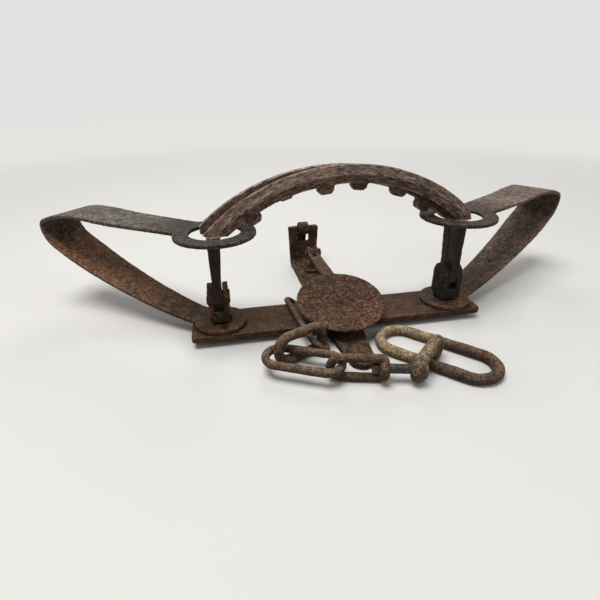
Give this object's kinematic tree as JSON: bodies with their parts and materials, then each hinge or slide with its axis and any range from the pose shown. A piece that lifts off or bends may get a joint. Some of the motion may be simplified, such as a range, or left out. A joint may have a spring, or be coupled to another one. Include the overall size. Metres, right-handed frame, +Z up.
{
  "type": "leghold trap",
  "caption": "Double long-spring leghold trap, shut: toothed arched jaws on forked posts, folded leaf springs, round pan, dog and a short drag chain with a ring.",
  "frame": {"origin": "middle of the trap on the floor: the underside of the cross bar, midway between the jaw posts", "axes": "+X along the base bar to the trap's right, +Y to the back (dog side), +Z up"},
  "size_m": [0.7183, 0.3658, 0.188],
  "materials": {
    "bar_rust": "tan and orange rust on flat bar",
    "rivet_iron": "dark rusted rivet heads",
    "left_post_rust": "coarse red-brown rust",
    "right_post_patina": "dark grey-green patina over rust",
    "hinge_iron": "brown rusted wrought iron",
    "jaw_iron": "dark brown-grey rust, worn edges",
    "left_spring_rust": "orange-brown rusted spring steel",
    "left_spring_patina": "grey-green patina with brown rust",
    "right_spring_steel": "brown-grey rusted spring steel",
    "pan_rust": "deeply pitted red-brown rust",
    "chain_iron": "tan-brown rusted chain iron",
    "swivel_steel": "dark rusted steel, worn bright in places",
    "ring_scale": "pale yellowish rust scale over brown"
  },
  "bodies": {
    "frame": {"base_bar": "bar_rust", "cross_bar": "bar_rust", "cross_rivets": "rivet_iron", "left_post": "left_post_rust", "right_post": "right_post_patina", "left_pivot_pins": "rivet_iron", "right_pivot_pins": "rivet_iron", "pan_bracket": "hinge_iron", "pan_bracket_rivets": "rivet_iron", "pan_pin": "rivet_iron"},
    "front_jaw": {"front_jaw": "jaw_iron"},
    "back_jaw": {"back_jaw": "jaw_iron"},
    "left_spring": {"left_spring_lower": "left_spring_rust"},
    "left_spring_top": {"left_spring_upper": "left_spring_patina"},
    "right_spring": {"right_spring_lower": "right_spring_steel"},
    "right_spring_top": {"right_spring_upper": "right_spring_steel"},
    "dog": {"dog": "hinge_iron"},
    "pan": {"pan_plate": "pan_rust", "pan_shank": "hinge_iron", "pan_rivet": "rivet_iron"},
    "base_loop": {"base_loop": "chain_iron"},
    "coupling_ring": {"coupling_ring": "chain_iron"},
    "long_link": {"long_link": "chain_iron"},
    "swivel_bow": {"swivel_bow": "chain_iron"},
    "swivel": {"swivel_pin": "swivel_steel", "ring_hook": "ring_scale"},
    "drag_ring": {"drag_ring": "ring_scale"}
  },
  "joints": [
    {"name": "jaw_open", "type": "hinge", "parent": "frame", "child": "front_jaw", "pos_m": [0, -0.0075, 0.049], "axis": [1, 0, 0], "range_deg": [0, 84], "stiffness_Nm_per_rad": 20, "springref_deg": -34.38},
    {"name": "back_jaw_open", "type": "hinge", "parent": "frame", "child": "back_jaw", "pos_m": [0, 0.0075, 0.049], "axis": [-1, 0, 0], "range_deg": [0, 84]},
    {"name": "left_spring_swing", "type": "hinge", "parent": "frame", "child": "left_spring", "pos_m": [-0.1405, 0, 0.0178], "axis": [0, 0, -1], "range_deg": [-36, 30]},
    {"name": "right_spring_swing", "type": "hinge", "parent": "frame", "child": "right_spring", "pos_m": [0.1405, 0, 0.0178], "axis": [0, 0, 1], "range_deg": [-30, 36]},
    {"name": "left_spring_flex", "type": "hinge", "parent": "left_spring", "child": "left_spring_top", "pos_m": [-0.32405, 0.13336, 0.08445], "axis": [0.5878, 0.809, 0], "range_deg": [0, 22.04], "deforming": ["left_spring_upper"]},
    {"name": "right_spring_flex", "type": "hinge", "parent": "right_spring", "child": "right_spring_top", "pos_m": [0.33698, 0.11344, 0.08445], "axis": [0.5, -0.866, 0], "range_deg": [0, 22.04], "deforming": ["right_spring_upper"]},
    {"name": "dog_swing", "type": "hinge", "parent": "frame", "child": "dog", "pos_m": [-0.00597, 0.18991, 0.061], "axis": [0.9995, 0.0314, 0], "range_deg": [0, 225]},
    {"name": "pan_lift", "type": "hinge", "parent": "frame", "child": "pan", "pos_m": [0, 0.147, 0.035], "axis": [-1, 0, 0], "range_deg": [0, 10]},
    {"name": "loop_slide", "type": "slide", "parent": "frame", "child": "base_loop", "axis": [1, 0, 0], "range_m": [-0.006, 0]},
    {"name": "coupling_swing", "type": "hinge", "parent": "base_loop", "child": "coupling_ring", "pos_m": [-0.0371, -0.05909, 0.0115], "axis": [0, 0, 1], "range_deg": [-14, 2]},
    {"name": "link_swing", "type": "hinge", "parent": "coupling_ring", "child": "long_link", "pos_m": [-0.08384, -0.07999, 0.0168], "axis": [0, 0, 1], "range_deg": [-10, 2]},
    {"name": "bow_swing", "type": "hinge", "parent": "long_link", "child": "swivel_bow", "pos_m": [-0.03748, -0.10912, 0.016], "axis": [0, 0, 1], "range_deg": [-20, 3]},
    {"name": "swivel_turn", "type": "hinge", "parent": "swivel_bow", "child": "swivel", "pos_m": [-0.03748, -0.10912, 0.016], "axis": [0.9703, -0.2419, 0], "range_deg": [-6, 6]},
    {"name": "ring_lift", "type": "hinge", "parent": "swivel", "child": "drag_ring", "pos_m": [0.06582, -0.11075, 0.0064], "axis": [0.6947, -0.7193, 0], "range_deg": [0, 20]}
  ],
  "couplings": [
    {"joint": "back_jaw_open", "follows": "jaw_open", "ratio": 1},
    {"joint": "left_spring_flex", "follows": "jaw_open", "ratio": 0.2612},
    {"joint": "right_spring_flex", "follows": "jaw_open", "ratio": 0.2612}
  ]
}
